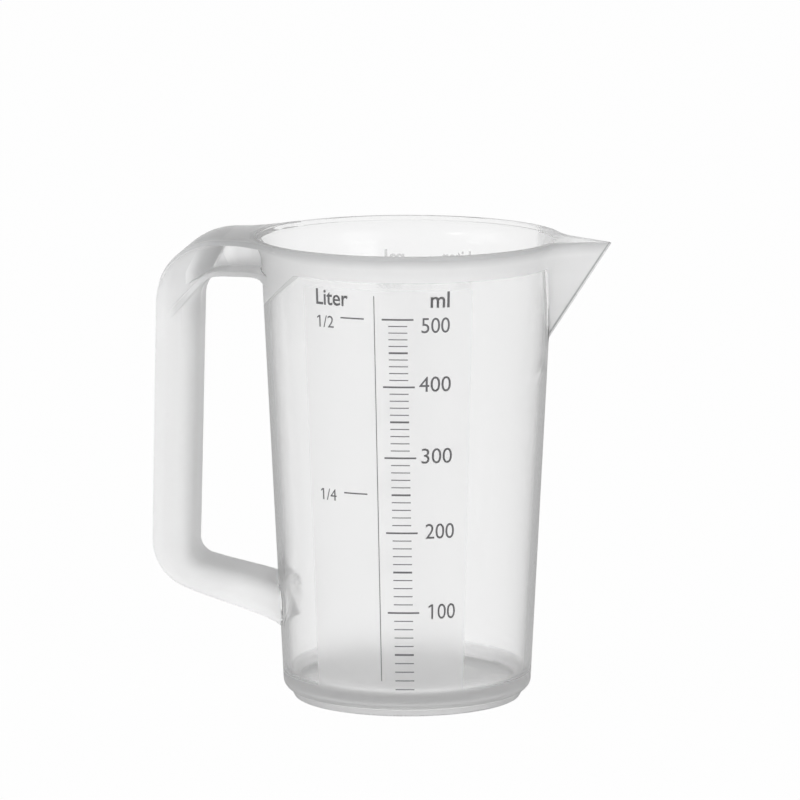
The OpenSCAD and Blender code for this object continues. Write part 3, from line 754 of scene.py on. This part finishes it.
# The words and numerals of both scales, in the same ink. Each is set in the plain built-in type,
# brought to its size, and bent round the wall: (text, left and right edge in degrees from the
# front, or from the back, foot and head in millimetres above the table, what its strokes gain).
INK_T = 0.06
front_words = [("Liter", -30.6, -16.2, 122.0, 126.7, 0.012), ("ml", 16.6, 24.2, 122.1, 126.8, 0.014),
               ("1/2", -30.4, -22.7, 115.4, 118.9, -0.004), ("1/4", -31.5, -23.6, 64.2, 67.6, -0.004),
               ("500", 13.1, 24.4, 114.7, 119.2, 0.0), ("400", 12.3, 25.2, 97.4, 101.9, 0.0),
               ("300", 13.4, 26.2, 76.2, 80.7, 0.0), ("200", 15.3, 27.7, 53.8, 58.3, 0.0),
               ("100", 16.8, 28.9, 29.8, 34.3, 0.0)]
back_words = [("Liter", -19.4, -7.0, 122.9, 127.4, 0.020), ("ml", 8.6, 16.8, 122.9, 127.4, 0.020),
              ("1/2", -20.4, -13.8, 115.4, 118.9, -0.004), ("1/4", -20.8, -13.8, 64.2, 67.6, -0.004),
              ("500", 9.0, 19.6, 114.7, 119.2, 0.0), ("400", 9.0, 20.6, 97.4, 101.9, 0.0),
              ("300", 9.2, 21.0, 76.2, 80.7, 0.0), ("200", 9.6, 21.6, 53.8, 58.3, 0.0),
              ("100", 10.6, 22.2, 29.8, 34.3, 0.0)]
TYPE_T = 0.01
# the plain type's 1 is a bare stem, and the printed one has a flag: its corners from the stem's
# head, and how far it stands out, in shares of the stem's height
FLAG, FLAG_OUT = [(0, 0), (0, -0.15), (-0.22, -0.27), (-0.22, -0.15)], 0.22
for side, turn, words in (("front", -90, front_words), ("back", 90, back_words)):
    printed = bmesh.new()
    for text, left, right, foot, head, stroke in words:
        type_set = bpy.data.curves.new("type", "FONT")
        type_set.body = text
        type_set.extrude = TYPE_T
        type_set.offset = stroke
        type_set.resolution_u = 6
        setter = bpy.data.objects.new("type", type_set)
        bpy.context.scene.collection.objects.link(setter)
        bpy.context.view_layer.update()
        done = setter.evaluated_get(bpy.context.evaluated_depsgraph_get())
        mesh = bpy.data.meshes.new_from_object(done)
        bpy.data.objects.remove(setter)
        bm = bmesh.new()
        bm.from_mesh(mesh)
        bmesh.ops.remove_doubles(bm, verts=bm.verts, dist=0.0001)
        xs, ys = [v.co.x for v in bm.verts], [v.co.y for v in bm.verts]
        if text[0] == "1":
            stem, top, tall = min(xs), max(ys), max(ys) - min(ys)
            flag = [bm.verts.new((stem + tall * cx, top + tall * cy, -TYPE_T)) for cx, cy in FLAG]
            face = bmesh.ops.contextual_create(bm, geom=flag)["faces"]
            raised = bmesh.ops.extrude_face_region(bm, geom=face)["geom"]
            bmesh.ops.translate(bm, vec=(0, 0, 2 * TYPE_T),
                                verts=[g for g in raised if isinstance(g, bmesh.types.BMVert)])
            xs.append(stem - FLAG_OUT * tall)
        for v in bm.verts:
            a = lerp(left, right, (v.co.x - min(xs)) / (max(xs) - min(xs)))
            z = lerp(foot, head, (v.co.y - min(ys)) / (max(ys) - min(ys)))
            r = wall_r(z) + (INK_T if v.co.z > 0 else -INK_T)
            a = math.radians(turn + a)
            v.co = (r * math.cos(a) * MM, r * math.sin(a) * MM, z * MM)
        bmesh.ops.recalc_face_normals(bm, faces=bm.faces)
        bm.to_mesh(mesh)
        bm.free()
        printed.from_mesh(mesh)
    mesh = bpy.data.meshes.new(side + "_numerals")
    printed.to_mesh(mesh)
    printed.free()
    numerals = bpy.data.objects.new(side + "_numerals", mesh)
    bpy.context.scene.collection.objects.link(numerals)
    mesh.materials.append(ink)
    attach(numerals, "root")


# The floor: plain white card, which glows by itself as the room's bright floor. What the camera
# sees of it, or sees through the plastic, is nearly all glow, and the card's small share keeps
# the jug's shadow.
bm = bmesh.new()
bmesh.ops.create_grid(bm, x_segments=1, y_segments=1, size=6.0)
floor_mesh = bpy.data.meshes.new("floor")
bm.to_mesh(floor_mesh)
bm.free()
ground = bpy.data.objects.new("ground", floor_mesh)
bpy.context.scene.collection.objects.link(ground)
white = bpy.data.materials.new("white_card")
white.use_nodes = True
tree = white.node_tree
tree.nodes.clear()
CARD = (0.92, 0.92, 0.92, 1)
GLOW, GLOW_SEEN = 0.85, 0.98
MIRRORED = 0.50


def by_plastic(path):
    """1 for a ray that comes through or off the plastic, and the level of what it then sees:
    lower once it was mirrored, which gives the clear wall its dark edges"""
    seen = either(path.outputs["Is Transmission Ray"], path.outputs["Is Glossy Ray"])
    once = node("Math", (path.outputs["Glossy Depth"], 1.0), operation="MINIMUM")
    level = node("Math", (zone(once, seen), MIRRORED - 1.0, 1.0), operation="MULTIPLY_ADD")
    return seen, level


path = node("LightPath")
seen, level = by_plastic(path)
card = node("BsdfDiffuse", {"Color": CARD})
glow = node("Emission", {"Color": (1, 1, 1, 1), "Strength": level})
share = node("Math", (either(path.outputs["Is Camera Ray"], seen), GLOW_SEEN - GLOW, GLOW),
             operation="MULTIPLY_ADD")
node("OutputMaterial", {"Surface": node("MixShader", (share, card, glow))})
ground.data.materials.append(white)

# The room: white all round, with a darker ceiling. The plastic shows the ceiling at half its
# darkness, and the camera sees plain white.
CEILING, CEILING_LOW, CEILING_HIGH = 0.18, 0.40, 0.85   # its level, and where it begins and is full
CEILING_SHOWN = 0.5
LIT = 0.93                                              # the white round it, as light on the jug
world = bpy.data.worlds.new("room")
bpy.context.scene.world = world
world.use_nodes = True
tree = world.node_tree
tree.nodes.clear()
path = node("LightPath")
seen, level = by_plastic(path)
up = node("SeparateXYZ", (node("TexCoord").outputs["Generated"],)).outputs[2]
ceiling = node("MapRange", (up, CEILING_LOW, CEILING_HIGH, 1.0, CEILING))
lit = node("Math", (path.outputs["Is Diffuse Ray"], LIT), operation="MULTIPLY")
shown = node("Math", (ceiling, CEILING_SHOWN, 1.0 - CEILING_SHOWN), operation="MULTIPLY_ADD")
strength = either(zone(lit, ceiling), zone(seen, level, shown), path.outputs["Is Camera Ray"])
sky = node("Background", {"Color": (1, 1, 1, 1), "Strength": strength})
node("OutputWorld", {"Surface": sky})

# The lamps: two softboxes that the plastic doesn't mirror, and a small window that it does. Each
# is a place, a width and a height in metres, its watts, and whether it is mirrored.
AIM = Vector((0, 0, 0.05))
for name, spot, wide, high, watts, mirrored in (
        ("left_softbox", (-1.5, -0.9, 0.7), 1.0, 1.2, 6.0, False),
        ("right_softbox", (1.3, -1.2, 0.6), 1.0, 1.2, 6.0, False),
        ("window", (-0.9, -1.3, 0.9), 0.35, 0.2, 0.5, True)):
    lamp = bpy.data.objects.new(name, bpy.data.lights.new(name, "AREA"))
    bpy.context.scene.collection.objects.link(lamp)
    lamp.data.shape = "RECTANGLE"
    lamp.data.size = wide
    lamp.data.size_y = high
    lamp.data.energy = watts
    lamp.visible_glossy = mirrored
    lamp.location = spot
    lamp.rotation_euler = (AIM - lamp.location).to_track_quat("-Z", "Y").to_euler()
